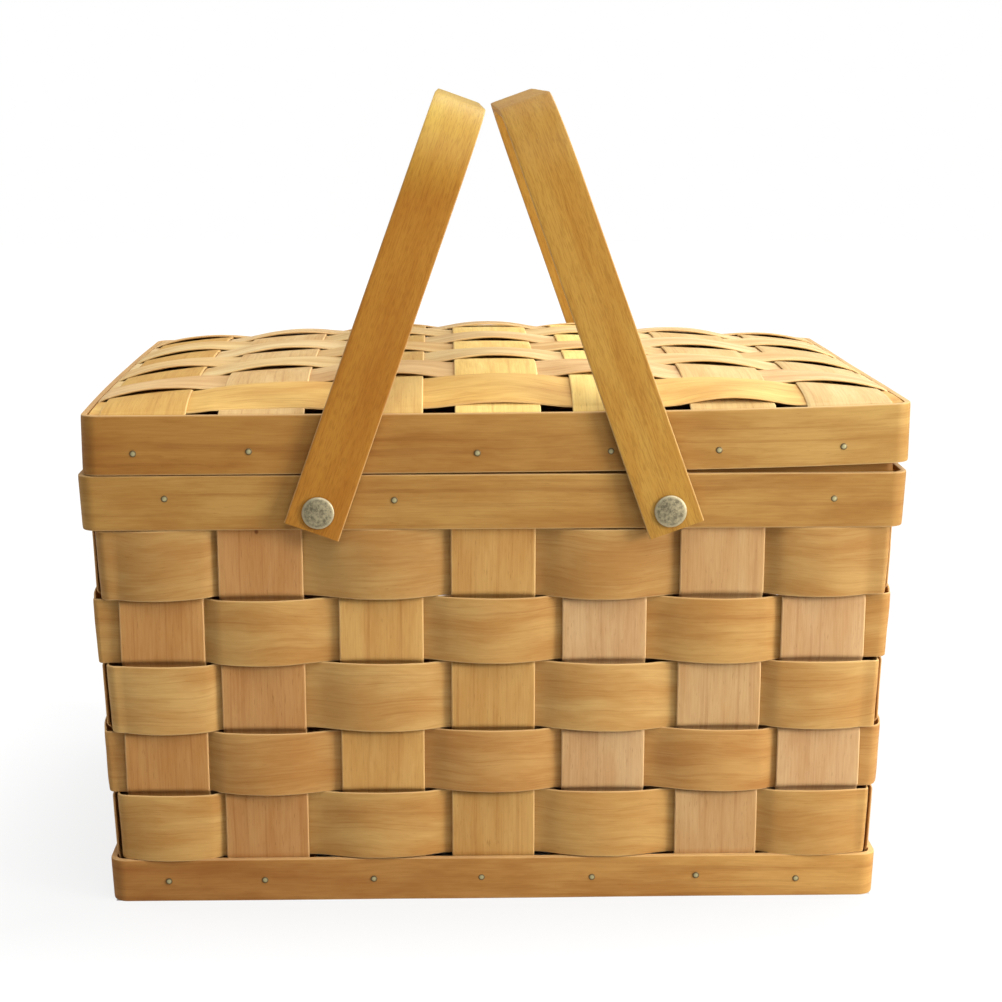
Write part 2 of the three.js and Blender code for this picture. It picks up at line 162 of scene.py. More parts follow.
add_node(splint_tree, "NodeGroupOutput", {"Splint": covered})


# Runs a tree on a mesh of points or paths and keeps its result as a plain mesh.
def make_piece(name, mesh, tree, values):
    piece = bpy.data.objects.new(name, mesh)
    bpy.context.scene.collection.objects.link(piece)
    modifier = piece.modifiers.new(tree.name, "NODES")
    modifier.node_group = tree
    for item in tree.interface.items_tree:
        if item.in_out == "INPUT" and item.name in values:
            modifier[item.identifier] = values[item.name]
    bpy.context.view_layer.update()
    made = bpy.data.meshes.new_from_object(piece.evaluated_get(bpy.context.evaluated_depsgraph_get()))
    piece.modifiers.remove(modifier)
    piece.data = made
    made.name = name
    for spare in ("place", "facing", "side", "spread", "slim", "cup", "run", "section"):
        if spare in made.attributes:
            made.attributes.remove(made.attributes[spare])
    made.shade_smooth()
    made.set_sharp_from_angle(angle=SHARP_ANGLE)
    return piece


def path_mesh(stations):
    mesh = bpy.data.meshes.new("path")
    last = len(stations) - 1
    mesh.from_pydata([s.place for s in stations], [(i, i + 1) for i in range(last)], [])
    for field in ("place", "facing", "side"):
        flat = [c for s in stations for c in getattr(s, field)]
        mesh.attributes.new(field, "FLOAT_VECTOR", "POINT").data.foreach_set("vector", flat)
    for field in ("spread", "slim", "cup"):
        flat = [getattr(s, field) for s in stations]
        mesh.attributes.new(field, "FLOAT", "POINT").data.foreach_set("value", flat)
    runs = [0.0]
    for a, b in zip(stations, stations[1:]):
        runs.append(runs[-1] + (b.place - a.place).length)
    mesh.attributes.new("run", "FLOAT", "POINT").data.foreach_set("value", runs)
    return mesh


def bend_splint(name, stations, wood, tone, seed, width, thickness=SPLINT, rounds=(1.0, 0.2),
                ripple=(0.15, 30)):
    splint = make_piece(name, path_mesh(stations), splint_tree, {
        "Width": width, "Thickness": thickness, "Round Across": rounds[0], "Round Through": rounds[1],
        "Ripple": ripple[0], "Ripple Length": ripple[1], "Tone": linear(tone), "Seed": float(seed),
        "Wood": wood})
    along = stations[1].place - stations[0].place
    if along.dot(stations[0].facing.cross(stations[0].side)) < 0:
        splint.data.flip_normals()
    return splint


# Rounds the corners of a polyline of points, then samples it at an even step.
def rounded(points, radius):
    corners = [points[0]]
    for before, corner, after in zip(points, points[1:], points[2:]):
        arriving, leaving = (before - corner).normalized(), (after - corner).normalized()
        turn = arriving.angle(leaving)
        room = min((before - corner).length, (after - corner).length)
        reach = min(radius / math.tan(turn / 2), room * BEND_SHARE)
        start, end = corner + arriving * reach, corner + leaving * reach
        for k in range(BEND_STEPS + 1):
            t = k / BEND_STEPS
            corners.append(start * (1 - t) ** 2 + corner * 2 * t * (1 - t) + end * t ** 2)
    corners.append(points[-1])
    return sampled(corners, PATH_STEP)


def sampled(points, step):
    result = [points[0]]
    for a, b in zip(points, points[1:]):
        pieces = max(1, round((b - a).length / step))
        result += [a.lerp(b, (k + 1) / pieces) for k in range(pieces)]
    return [p for i, p in enumerate(result) if i == 0 or (p - result[i - 1]).length > SAME_PLACE]


def tangents(points):
    last = len(points) - 1
    return [(points[min(i + 1, last)] - points[max(i - 1, 0)]).normalized() for i in range(last + 1)]


def start_material(name):
    material = bpy.data.materials.new(name)
    material.use_nodes = True
    return material, material.node_tree, material.node_tree.nodes["Principled BSDF"]


# Sizes of the wood's patterns along and across the grain, in mm.
WANDER_SIZE, CLOUD_SIZE, LINE_LENGTH = (80, 60), (60, 13), 170
FIBRE_SIZE, FLECK_SIZE, KNOT_SIZE = (16, 0.8), (5, 0.55), (42, 36)
KNOT_COLOUR, EDGE_HIGHLIGHT_COLOUR = "#8a5a34", "#f0cf98"


# What turns a place on the grain into a place in a pattern of this size, with a stride from seed to seed.
def pattern_scale(size, stride):
    return (1 / size[0], 1 / size[1], stride)


# Sliced wood: pale where the knife cut early growth and browner in clouds drawn out along the strip, with
# thin growth lines, finer pores, short dark flecks, an odd pin knot, and a painted highlight along the cut
# edges.
def sliced_wood(name, cloud_colour, line_colour, line_width, line_depth, wander, flecks_from, fleck_depth,
                roughness):
    wood, tree, shader = start_material(name)
    grain = add_node(tree, "ShaderNodeAttribute", attribute_name="grain").outputs["Vector"]
    tone = add_node(tree, "ShaderNodeAttribute", attribute_name="tone").outputs["Color"]
    edge = add_node(tree, "ShaderNodeAttribute", attribute_name="edge").outputs["Fac"]
    slow = add_node(tree, "ShaderNodeVectorMath", {
        0: grain, 1: pattern_scale(WANDER_SIZE, 7.31)}, operation="MULTIPLY")
    drift = add_node(tree, "ShaderNodeTexNoise", {"Vector": slow, "Scale": 1.0, "Detail": 2.0})
    bend = add_node(tree, "ShaderNodeMapRange", {"Value": drift, "To Min": -wander / 2, "To Max": wander / 2})
    sideways = add_node(tree, "ShaderNodeCombineXYZ", {1: bend})
    warped = add_node(tree, "ShaderNodeVectorMath", {0: grain, 1: sideways}, operation="ADD")
    # Clouds, growth lines and fibres, each darkening what lies below it.
    colour = tone
    for size, stride, detail, low, high, depth, shade, easing in (
            (CLOUD_SIZE, 2.9, 4.0, 0.68, 0.32, 0.8, cloud_colour, "SMOOTHSTEP"),
            ((LINE_LENGTH, line_width), 5.17, 2.0, 0.52, 0.74, line_depth, line_colour, "SMOOTHSTEP"),
            (FIBRE_SIZE, 3.7, 2.0, 0.38, 0.7, 0.17, line_colour, "LINEAR")):
        place = add_node(tree, "ShaderNodeVectorMath", {
            0: warped, 1: pattern_scale(size, stride)}, operation="MULTIPLY")
        pattern = add_node(tree, "ShaderNodeTexNoise", {
            "Vector": place, "Scale": 1.0, "Detail": detail, "Roughness": 0.6})
        mask = add_node(tree, "ShaderNodeMapRange", {
            "Value": pattern, "From Min": low, "From Max": high, "To Max": depth}, interpolation_type=easing)
        colour = add_node(tree, "ShaderNodeMix", {
            0: mask, 6: colour, 7: linear(shade)}, data_type="RGBA", blend_type="MULTIPLY").outputs[2]
    fibres = pattern
    fleck_place = add_node(tree, "ShaderNodeVectorMath", {
        0: warped, 1: pattern_scale(FLECK_SIZE, 8.3)}, operation="MULTIPLY")
    flecks = add_node(tree, "ShaderNodeTexNoise", {"Vector": fleck_place, "Scale": 1.0, "Detail": 1.0})
    fleck_mask = add_node(tree, "ShaderNodeMapRange", {
        "Value": flecks, "From Min": flecks_from, "From Max": flecks_from + 0.12, "To Max": fleck_depth})
    knot_place = add_node(tree, "ShaderNodeVectorMath", {
        0: grain, 1: pattern_scale(KNOT_SIZE, 1.7)}, operation="MULTIPLY")
    knots = add_node(tree, "ShaderNodeTexVoronoi", {"Vector": knot_place, "Scale": 1.0})
    knot_mask = add_node(tree, "ShaderNodeMapRange", {
        "Value": knots.outputs["Distance"], "From Min": 0.036, "From Max": 0.018, "To Max": 0.75})
    rare = add_node(tree, "ShaderNodeMath", {0: knots.outputs["Color"], 1: 0.8}, operation="GREATER_THAN")
    spots = add_node(tree, "ShaderNodeMath", {
        0: knot_mask, 1: rare, 2: fleck_mask}, operation="MULTIPLY_ADD", use_clamp=True)
    spotted = add_node(tree, "ShaderNodeMix", {
        0: spots, 6: colour, 7: linear(KNOT_COLOUR)}, data_type="RGBA", blend_type="MULTIPLY")
    # Painted highlight: the colour turns paler towards each strip's edges.
    edge_highlight_mask = add_node(tree, "ShaderNodeMapRange", {
        "Value": edge, "From Min": 0.9, "From Max": 0.985, "To Max": 0.3})
    colour = add_node(tree, "ShaderNodeMix", {
        0: edge_highlight_mask, 6: spotted.outputs[2], 7: linear(EDGE_HIGHLIGHT_COLOUR)}, data_type="RGBA")
    rough = add_node(tree, "ShaderNodeMapRange", {
        "Value": fibres, "To Min": roughness - 0.08, "To Max": roughness + 0.1})
    bump = add_node(tree, "ShaderNodeBump", {"Height": fibres, "Strength": 0.2, "Distance": 0.15 * MM})
    feed(shader, {"Base Color": colour.outputs[2], "Roughness": rough, "Normal": bump,
                  "IOR": 1.5, "Specular IOR Level": 0.15})
    return wood


# Straight-grained pine: a pinkish tan with fine lines that run nearly parallel.
stake_pine = sliced_wood(
    "sliced pine veneer, straight grain", "#eee0d0", "#bd8a62",
    line_width=2.2, line_depth=0.26, wander=2.5, flecks_from=0.66, fleck_depth=0.3, roughness=0.6)


# A stake bows out where a row runs behind it, and turns in sharply just above a row that runs in front.
def sway(height, first):
    levels = [0.0] + [STAKE_SWAY[(row + first) % 2] for row in range(ROWS)] + [0.0]
    total = levels[0]
    for below, above, edge in zip(levels, levels[1:], ROW_EDGES):
        turn = SWAY_OUT if above > below else SWAY_IN
        t = min(1.0, max(0.0, (height - edge) / SWAY_REACH + turn))
        total += (above - below) * t * t * (3 - 2 * t)
    return total


def stake_stations(points, outward, first):
    stations = []
    for point, along in zip(points, tangents(points)):
        side = outward.cross(Vector((0, 0, -1)))
        facing = along.cross(side).normalized()
        bow = sway(point.z, first) if point.z > FOOT_TOP / 2 else 0.0
        stations.append(Station(point + facing * bow, facing, side))
    return stations


for i, x in enumerate(LONG_PLACES):
    reach_top = LONG_WALL + WALL_SLOPE * STAKE_TOP
    reach_floor = LONG_WALL + WALL_SLOPE * FLOOR_LEVEL
    points = rounded([Vector((x, -reach_top, STAKE_TOP)), Vector((x, -reach_floor, FLOOR_LEVEL)),
                      Vector((x, reach_floor, FLOOR_LEVEL)), Vector((x, reach_top, STAKE_TOP))], STAKE_BEND)
    stations = stake_stations(points, Vector((0, -1, 0)), i)
    stake = bend_splint(f"upright_splint_{i + 1}", stations, stake_pine, STAKE_TONES[i], 11 + i, STAKE_WIDTH)
    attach(stake, "basket")
    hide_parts(f"front_to_back_stake_{i + 1}")

# Side-to-side stakes: five more of the same splints that stand in the end walls.
# In the floor they are woven through the others, over and under in turn.
SHORT_PITCH = 54.55
SHORT_PLACES = [SHORT_PITCH * i for i in range(-2, 3)]
FLOOR_STEP = 1.7
FLOOR_TURN = 22
FLOOR_END = 182

for i, y in enumerate(SHORT_PLACES):
    levels = [FLOOR_LEVEL + (FLOOR_STEP if (i + j) % 2 == 0 else -FLOOR_STEP)
              for j in range(len(LONG_PLACES))]
    reach_top = SHORT_WALL + WALL_SLOPE * STAKE_TOP
    reach_floor = SHORT_WALL + WALL_SLOPE * levels[0]
    points = [Vector((reach_top, y, STAKE_TOP)), Vector((reach_floor, y, levels[0]))]
    for x, level in reversed(list(zip(LONG_PLACES, levels))):
        turns = [x + FLOOR_TURN, x - FLOOR_TURN]
        points += [Vector((turn, y, level)) for turn in turns if abs(turn) < FLOOR_END]
    points += [Vector((-reach_floor, y, levels[0])), Vector((-reach_top, y, STAKE_TOP))]
    stations = stake_stations(rounded(points, STAKE_BEND), Vector((1, 0, 0)), i + 1)
    tone = STAKE_TONES[(2 * i) % len(STAKE_TONES)]
    stake = bend_splint(f"end_splint_{i + 1}", stations, stake_pine, tone, 31 + i, STAKE_WIDTH)
    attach(stake, "basket")
    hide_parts(f"side_to_side_stake_{i + 1}")

# Weavers: five long splints, one for each row, that pass outside and inside the stakes in turn.
# Sliced from pine with wandering growth lines, and bent round the corners while wet.
# Each is lapped on itself behind a stake of the back wall.
WEAVER_GAP = 0.1
WEAVER_PINCH = 0.007
WEAVER_ROLLS = (-0.03, -0.02, -0.02, -0.02, -0.05)
WEAVER_STEPS = (2.6, 1.6)
WEAVER_BOWS = (0.3, 3.0)
WEAVER_CORNERS = (4.6, 2.2)
WEAVER_CORNER_STEPS = 8
WEAVER_STEP = 2.0
WEAVER_WANDER = 0.45
PINCH_FROM, PINCH_OVER = 0.45, 0.65
LEAN_FROM_X, LEAN_FROM_Y, LEAN_OVER = 164, 109, 18
BACK_WALL_FROM = 100
LAP_POINTS, LAP_STEP, LAP_DEPTH = 4, 3.0, 1.6
WEAVER_TONES = ("#bf9758", "#ba8f53", "#c39d5f", "#bd9557", "#b58f54")

# Pine sliced across the growth: golden, with lines that wander along the strip.
weaver_pine = sliced_wood(
    "sliced pine veneer, wandering grain", "#e3cdb6", "#b98052",
    line_width=2.2, line_depth=0.22, wander=19.0, flecks_from=0.68, fleck_depth=0.2, roughness=0.55)


# How far a woven strip stands from the strips that it crosses: it bows over or under each one,
# and passes smoothly from side to side in the gap between two. Steps and bows are inside, outside.
def weave_offset(along, places, outside, steps, bows):
    half = STAKE_WIDTH / 2
    levels = [steps[out] if out else -steps[out] for out in outside]
    swells = [bows[out] if out else -bows[out] for out in outside]
    for place, level, swell in zip(places, levels, swells):
        if abs(along - place) <= half:
            return level + swell * (1 - ((along - place) / half) ** 2)
    if along < places[0]:
        return levels[0]
    if along > places[-1]:
        return levels[-1]
    i = max(k for k, place in enumerate(places) if place < along)
    gap = places[i + 1] - places[i] - 2 * half
    t = (along - places[i] - half) / gap
    leave, arrive = -2 * swells[i] / half * gap, 2 * swells[i + 1] / half * gap
    return (levels[i] * (1 - 3 * t ** 2 + 2 * t ** 3) + levels[i + 1] * (3 * t ** 2 - 2 * t ** 3)
            + leave * (t - 2 * t ** 2 + t ** 3) + arrive * (t ** 3 - t ** 2))


# A woven strip is drawn narrower where it turns down between two of the strips that it crosses.
def pinched(along, places, pinch):
    from_middle = min(abs(along - place) for place in places) / (STAKE_WIDTH / 2)
    ease = min(1.0, max(0.0, (from_middle - PINCH_FROM) / PINCH_OVER))
    return 1 - pinch * ease * ease * (3 - 2 * ease)


# The side of a hoop leans with the walls: outwards on a wall, and both ways at a corner.
def hoop_stations(points, spreads, slope, slims=None, rolls=None):
    stations = []
    for i, (point, along) in enumerate(zip(points, tangents(points))):
        outward = Vector((along.y, -along.x, 0))
        lean_x = slope * min(1.0, max(0.0, (abs(point.x) - LEAN_FROM_X) / LEAN_OVER))
        lean_y = slope * min(1.0, max(0.0, (abs(point.y) - LEAN_FROM_Y) / LEAN_OVER))
        roll = rolls[i] if rolls else 0.0
        side = Vector((math.copysign(lean_x, point.x), math.copysign(lean_y, point.y), 1)) + outward * roll
        facing = Vector((outward.x, outward.y, -slope - roll)).normalized()
        stations.append(Station(point, facing, side, spreads[i], slims[i] if slims else 1.0))
    return stations


def weaver_points(row):
    height = (ROW_EDGES[row] + ROW_EDGES[row + 1]) / 2
    far_y = LONG_WALL + WALL_SLOPE * height
    far_x = SHORT_WALL + WALL_SLOPE * height
    long_out = [(row + j) % 2 == 0 for j in range(len(LONG_PLACES))]
    short_out = [(row + 1 + j) % 2 == 0 for j in range(len(SHORT_PLACES))]
    mirrored = [-x for x in reversed(LONG_PLACES)]
    walls = [(Vector((0, -1, 0)), Vector((1, 0, 0)), far_y, far_x, LONG_PLACES, long_out),
             (Vector((1, 0, 0)), Vector((0, 1, 0)), far_x, far_y, SHORT_PLACES, short_out),
             (Vector((0, 1, 0)), Vector((-1, 0, 0)), far_y, far_x, mirrored, long_out),
             (Vector((-1, 0, 0)), Vector((0, -1, 0)), far_x, far_y, SHORT_PLACES, short_out)]
    reach = [-WEAVER_STEPS[0], WEAVER_STEPS[1]]
    points, spreads, rolls = [], [], []
    for w, (out, along, far, half_length, places, outside) in enumerate(walls):
        next_outside, past_outside = walls[(w + 1) % 4][5], walls[(w + 3) % 4][5]
        radius = WEAVER_CORNERS[outside[-1]]
        first = -half_length - reach[past_outside[-1]] + WEAVER_CORNERS[past_outside[-1]]
        last = half_length + reach[next_outside[0]] - radius
        steps = round((last - first) / WEAVER_STEP)
        for k in range(steps + 1):
            s = first + (last - first) * k / steps
            offset = weave_offset(s, places, outside, WEAVER_STEPS, WEAVER_BOWS)
            points.append(out * (far + offset) + along * s + Vector((0, 0, height)))
            spreads.append(pinched(s, places, WEAVER_PINCH))
            nearest = min(range(len(places)), key=lambda j: abs(places[j] - s))
            swell = max(0.0, 1 - ((s - places[nearest]) / (STAKE_WIDTH / 2)) ** 2)
            rolls.append(WEAVER_ROLLS[row] * swell if outside[nearest] else 0.0)
        centre = out * (far + reach[outside[-1]] - radius) + along * last + Vector((0, 0, height))
        for k in range(1, WEAVER_CORNER_STEPS):
            turn = math.pi / 2 * k / WEAVER_CORNER_STEPS
            points.append(centre + (out * math.cos(turn) + along * math.sin(turn)) * radius)
            spreads.append(1 - WEAVER_PINCH)
            rolls.append(0.0)
    return points, spreads, rolls


# A row starts level and then rises and falls a little along its length.
def rise_and_fall(i, row):
    waves = math.sin(i / 23 + 0.3 * row) + 0.6 * math.sin(i / 9.1 + 0.5 * row)
    return WEAVER_WANDER * waves * min(1, i / 20)


for row in range(ROWS):
    points, spreads, rolls = weaver_points(row)
    hidden = LONG_PLACES[3 if row % 2 == 0 else 2]
    back = [i for i, p in enumerate(points) if p.y > BACK_WALL_FROM]
    start = min(back, key=lambda i: abs(points[i].x - hidden))
    points, spreads, rolls = (kept[start:] + kept[:start] for kept in (points, spreads, rolls))
    for i, point in enumerate(points):
        point.z += rise_and_fall(i, row)
    end = points[0]
    points += [Vector((hidden - k * LAP_STEP, end.y - LAP_DEPTH * min(1, k / 2 + 0.5), end.z))
               for k in range(LAP_POINTS)]
    spreads += [1 - WEAVER_PINCH] * LAP_POINTS
    rolls += [0.0] * LAP_POINTS
    stations = hoop_stations(points, spreads, WALL_SLOPE, rolls=rolls)
    height = ROW_EDGES[row + 1] - ROW_EDGES[row] - WEAVER_GAP
    weaver = bend_splint(f"weaver_splint_{row + 1}", stations, weaver_pine, WEAVER_TONES[row], 51 + row,
                         height, ripple=(0.2, 26))
    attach(weaver, "basket")
    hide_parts(f"weaver_row_{row + 1}")

# Foot, rim and inner bands: thicker pine strips bent into hoops and nailed to the stakes.
# The foot and rim bands hold the stakes from outside, and the inner band from inside.
# The inner band stands above the rim as a lip that the lid slips over.
BAND = 3.2
RIM_BOTTOM, RIM_TOP = 192, 219
HALF_WIDTH, HALF_DEPTH = 200, 145
BAND_CORNER = 8
INNER_BAND = 2.5
INNER_BOTTOM, INNER_TOP = 192.3, 231
INNER_HALF_WIDTH, INNER_HALF_DEPTH = 193.82, 138.82
INNER_CORNER = 4
HOOP_CORNER_STEPS = 10
HOOP_STEP = 4.0
SCARF = 34
SCARF_TIP, SCARF_RISE = 0.18, 0.8
BAND_EDGES = (0.15, 0.15)
BAND_RIPPLE = (0.25, 90)

# Sanded pine: browner and smoother, with faint long streaks.
band_pine = sliced_wood(
    "sanded pine strip", "#decab4", "#ad7444",
    line_width=3.6, line_depth=0.26, wander=4.0, flecks_from=0.68, fleck_depth=0.2, roughness=0.5)


# A rounded rectangle seen from above, run anticlockwise from the middle of the back wall.
def hoop_points(half_width, half_depth, radius, height):
    corners = [(-1, 1), (-1, -1), (1, -1), (1, 1)]
    points = [Vector((0, half_depth, height))]
    for c, (x, y) in enumerate(corners):
        centre = Vector((x * (half_width - radius), y * (half_depth - radius), height))
        for k in range(HOOP_CORNER_STEPS + 1):
            turn = math.pi / 2 * (c + 1 + k / HOOP_CORNER_STEPS)
            points.append(centre + Vector((math.cos(turn), math.sin(turn), 0)) * radius)
    points.append(Vector((0, half_depth, height)))
    return sampled(points, HOOP_STEP)


# The two ends of a band are planed thin and overlap in a scarf, one outside the other.
def scarfed(points, thickness):
    runs = [0.0]
    for a, b in zip(points, points[1:]):
        runs.append(runs[-1] + (b - a).length)
    result, slims = [], []
    for point, at, along in zip(points, runs, tangents(points)):
        outward = Vector((along.y, -along.x, 0))
        for near, inner in ((at, 1), (runs[-1] - at, -1)):
            if near < SCARF:
                slim = SCARF_TIP + SCARF_RISE * near / SCARF
                inset = outward * inner * thickness * (1 - slim) / 2
                result.append(point - inset + along * -inner * SCARF / 2 * (1 - near / SCARF))
                slims.append(slim)
                break
        else:
            result.append(point)
            slims.append(1.0)
    return result, slims


def band_stations(half_width, half_depth, radius, thickness, bottom, top, slope):
    middle = (bottom + top) / 2
    inset = thickness / 2 + slope * (RIM_TOP - middle)
    hoop = hoop_points(half_width - inset, half_depth - inset, radius - thickness / 2, middle)
    points, slims = scarfed(hoop, thickness)
    return hoop_stations(points, [1.0] * len(points), slope, slims)


# Shifts a piece's tone from one colour to another, by a share worked out from each point's place. Every use
# below paints light: paler right-hand ends on the bands and a paler top on the handles.
def drift_tone(piece, tone, other, share):
    shades = []
    for vertex in piece.data.vertices:
        t = min(1.0, max(0.0, share(vertex.co / MM)))
        shades += [a + (b - a) * t for a, b in zip(linear(tone), linear(other))]
    piece.data.attributes["tone"].data.foreach_set("color", shades)


# A share that is nothing at the left end and rises mostly near the right end, for light painted on from the
# right.
def painted_light_from_right(place):
    return max(0.0, (place.x + HALF_WIDTH) / (2 * HALF_WIDTH)) ** 2


# The second tone is painted light: the foot band turns paler towards its right-hand end, while the rim and
# inner bands barely change.
for name, node, tone, painted_right_tone, seed, thickness, stations, height in (
        ("foot_hoop", "foot_band", "#ab7a40", "#cca05a", 71, BAND,
         band_stations(HALF_WIDTH, HALF_DEPTH, BAND_CORNER, BAND, 0, FOOT_TOP, WALL_SLOPE), FOOT_TOP),
        ("rim_hoop", "rim_band", "#b28949", "#ad8548", 72, BAND,
         band_stations(HALF_WIDTH, HALF_DEPTH, BAND_CORNER, BAND, RIM_BOTTOM, RIM_TOP, WALL_SLOPE),
         RIM_TOP - RIM_BOTTOM),
        ("inner_hoop", "inner_rim_band", "#a4783e", "#a4783e", 73, INNER_BAND,
         band_stations(INNER_HALF_WIDTH, INNER_HALF_DEPTH, INNER_CORNER, INNER_BAND, INNER_BOTTOM,
                       INNER_TOP, 0),
         INNER_TOP - INNER_BOTTOM)):
    hoop = bend_splint(name, stations, band_pine, tone, seed, height, thickness, BAND_EDGES, BAND_RIPPLE)
    drift_tone(hoop, tone, painted_right_tone, painted_light_from_right)
    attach(hoop, "basket")
    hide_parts(node)

# Lid band: a pine hoop like the rim band, loose on the basket and sprung up a little at one corner.
# The whole lid sits slightly turned and shifted on the lip.
LID_BOTTOM, LID_TOP = 219.4, 248.2
LID_HALF_WIDTH = 199
LID_BAND = 3.0
LID_SHIFT = 1.2
LID_YAW = 0.005
LID_BOW = 2.2
LID_TILT, LID_SPRING = 0.8, 3.6
LID_TONE, LID_PAINTED_RIGHT_TONE = "#a6783a", "#b99555"


# Where a point of the lid comes to lie: shifted, turned, bowed at the left end and sprung at the front right.
def settle(point):
    left = max(0.0, -point.x / LID_HALF_WIDTH) ** 3
    right = max(0.0, (point.x + LID_HALF_WIDTH) / (2 * LID_HALF_WIDTH))
    x = point.x - LID_YAW * point.y + LID_SHIFT - LID_BOW * left * (1 - (point.y / HALF_DEPTH) ** 2)
    y = point.y + LID_YAW * point.x
    lift = (LID_TILT * right + LID_SPRING * right ** 5) * (HALF_DEPTH - point.y) / (2 * HALF_DEPTH)
    return Vector((x, y, point.z + lift))


def settled(stations):
    return [s._replace(place=settle(s.place), facing=settle(s.place + s.facing) - settle(s.place),
                       side=settle(s.place + s.side) - settle(s.place)) for s in stations]


stations = band_stations(LID_HALF_WIDTH, HALF_DEPTH, BAND_CORNER, LID_BAND, LID_BOTTOM, LID_TOP, 0)
lid_hoop = bend_splint("lid_hoop", settled(stations), band_pine, LID_TONE, 74, LID_TOP - LID_BOTTOM, LID_BAND,
                       BAND_EDGES, BAND_RIPPLE)
# Painted light: the lid band's tone turns paler towards its right-hand end.
drift_tone(lid_hoop, LID_TONE, LID_PAINTED_RIGHT_TONE, painted_light_from_right)
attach(lid_hoop, "lid")
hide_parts("lid_band")

# Lid strips: seven splints from front to back and eight from side to side, woven into a low dome.
# Their ends are folded down inside the lid band and nailed through it.
DOME_BASE = 247.6
DOME_RISE = 16.5
DOME_HALF_WIDTH, DOME_HALF_DEPTH = 195.4, 141.4
DOME_ACROSS, DOME_ALONG = (1.56, 0.654), (4.58, 0.9)
TUCK_HALF_WIDTH, TUCK_HALF_DEPTH = 195.2, 141.2
TUCK_BOTTOM, TUCK_TOP = 232.5, 246.6
TUCK_STEP = 3
LID_COLUMN_PITCH = 56.5
LID_COLUMN_PLACES = [LID_COLUMN_PITCH * i for i in range(-3, 4)]
LID_ROW_PITCH = 34.37
LID_ROW_WIDTH = 34.2
LID_ROWS = 8
LID_ROW_PLACES = [LID_ROW_PITCH * (i - (LID_ROWS - 1) / 2) for i in range(LID_ROWS)]
COLUMN_LIFT, COLUMN_SHARPNESS, COLUMN_PRESS = 0.8, 0.4, 0.6
COLUMN_STEPS, ROW_POINTS = 140, 200
TOP_SHARE = 0.998
SWELL_REACH = 0.6
ROW_STEPS, ROW_BOWS = (0.9, 0.8), (0.2, 0.95)
FRONT_STEPS, FRONT_BOWS = (0.9, 0.6), (0.2, 1.5)
ROW_ROLL, FRONT_ROLL = 0.06, 0.075
FRONT_DROP = 1.6
EDGE_FADE = 4.0
# Painted light: the lid strips are paler and yellower than the same woods on the walls, standing in for the
# strong light on the lid, and columns 4 and 5 are paler still where the handles shade the middle of the lid.
COLUMN_TONES = ("#c69f58", "#d0b17b", "#cead6a", "#eacd7f", "#e9d07f", "#cfb47b", "#ccb27c")
ROW_TONES = ("#d9b468", "#d6b681", "#ddc48c", "#d9bc83", "#dec692", "#d9c088", "#dcc391", "#d7b983")


def dome(x, y):
    across = max(0.0, 1 - abs(x / DOME_HALF_WIDTH) ** DOME_ACROSS[0]) ** DOME_ACROSS[1]
    along = max(0.0, 1 - abs(y / DOME_HALF_DEPTH) ** DOME_ALONG[0]) ** DOME_ALONG[1]
    return DOME_BASE + DOME_RISE * across * along


# How far the front row's front edge has been pressed down: not at all on the right, and most at the left end.
def front_drop(x):
    return FRONT_DROP * min(2.0, max(0.0, 1 - x / LID_COLUMN_PLACES[5]))


# A lid strip runs up inside the band, over the dome and down again; top holds its reach, level and
# roll at each step, and the dome gives the tilt and cup across it.
def strip_stations(top, tuck, axis, cross, middle, breadth):
    rise = sampled([Vector((-tuck, 0, TUCK_BOTTOM)), Vector((-tuck, 0, TUCK_TOP))], TUCK_STEP)
    fall = [Vector((tuck, 0, p.z)) for p in reversed(rise)]
    flat = rise + [Vector((reach, 0, level)) for reach, level, roll in top] + fall
    points = [axis * p.x + cross * middle + Vector((0, 0, p.z)) for p in flat]
    stations = []
    for i, (point, along) in enumerate(zip(points, tangents(points))):
        low, high = point - cross * breadth / 2, point + cross * breadth / 2
        roll, slope, cup = 0.0, 0.0, 0.0
        if 0 <= i - len(rise) < len(top):
            roll = top[i - len(rise)][2]
            low_level, high_level = dome(low.x, low.y), dome(high.x, high.y)
            slope = (high_level - low_level) / breadth
            cup = (low_level + high_level) / 2 - dome(point.x, point.y)
        side = (cross + Vector((0, 0, slope - roll))).normalized()
        facing = side.cross(along).normalized()
        if axis.cross(cross).z > 0:
            side, facing = -side, -facing
        stations.append(Station(point, facing, side, cup=cup))
    return stations


for i, x in enumerate(LID_COLUMN_PLACES):
    top = []
    for k in range(COLUMN_STEPS + 1):
        y = DOME_HALF_DEPTH * math.sin(math.pi / 2 * (2 * k / COLUMN_STEPS - 1)) * TOP_SHARE
        row = min(range(LID_ROWS), key=lambda r: abs(LID_ROW_PLACES[r] - y))
        wave = math.cos(math.pi * (y - LID_ROW_PLACES[row]) / LID_ROW_PITCH)
        lift = COLUMN_LIFT * max(0.0, wave) ** COLUMN_SHARPNESS * (1 if (row + i) % 2 == 0 else -1)
        if row == 0 and i % 2:
            lift -= COLUMN_PRESS * front_drop(x) * max(0.0, wave)
        fade = min(1.0, (DOME_HALF_DEPTH - abs(y)) / EDGE_FADE)
        top.append((y, dome(x, y) + lift * fade, 0.0))
    stations = strip_stations(top, TUCK_HALF_DEPTH, Vector((0, 1, 0)), Vector((1, 0, 0)), x, STAKE_WIDTH)
    column = bend_splint(f"lid_column_{i + 1}", settled(stations), stake_pine, COLUMN_TONES[i], 81 + i,
                         STAKE_WIDTH)
    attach(column, "lid")
    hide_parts(f"lid_front_to_back_strip_{i + 1}")

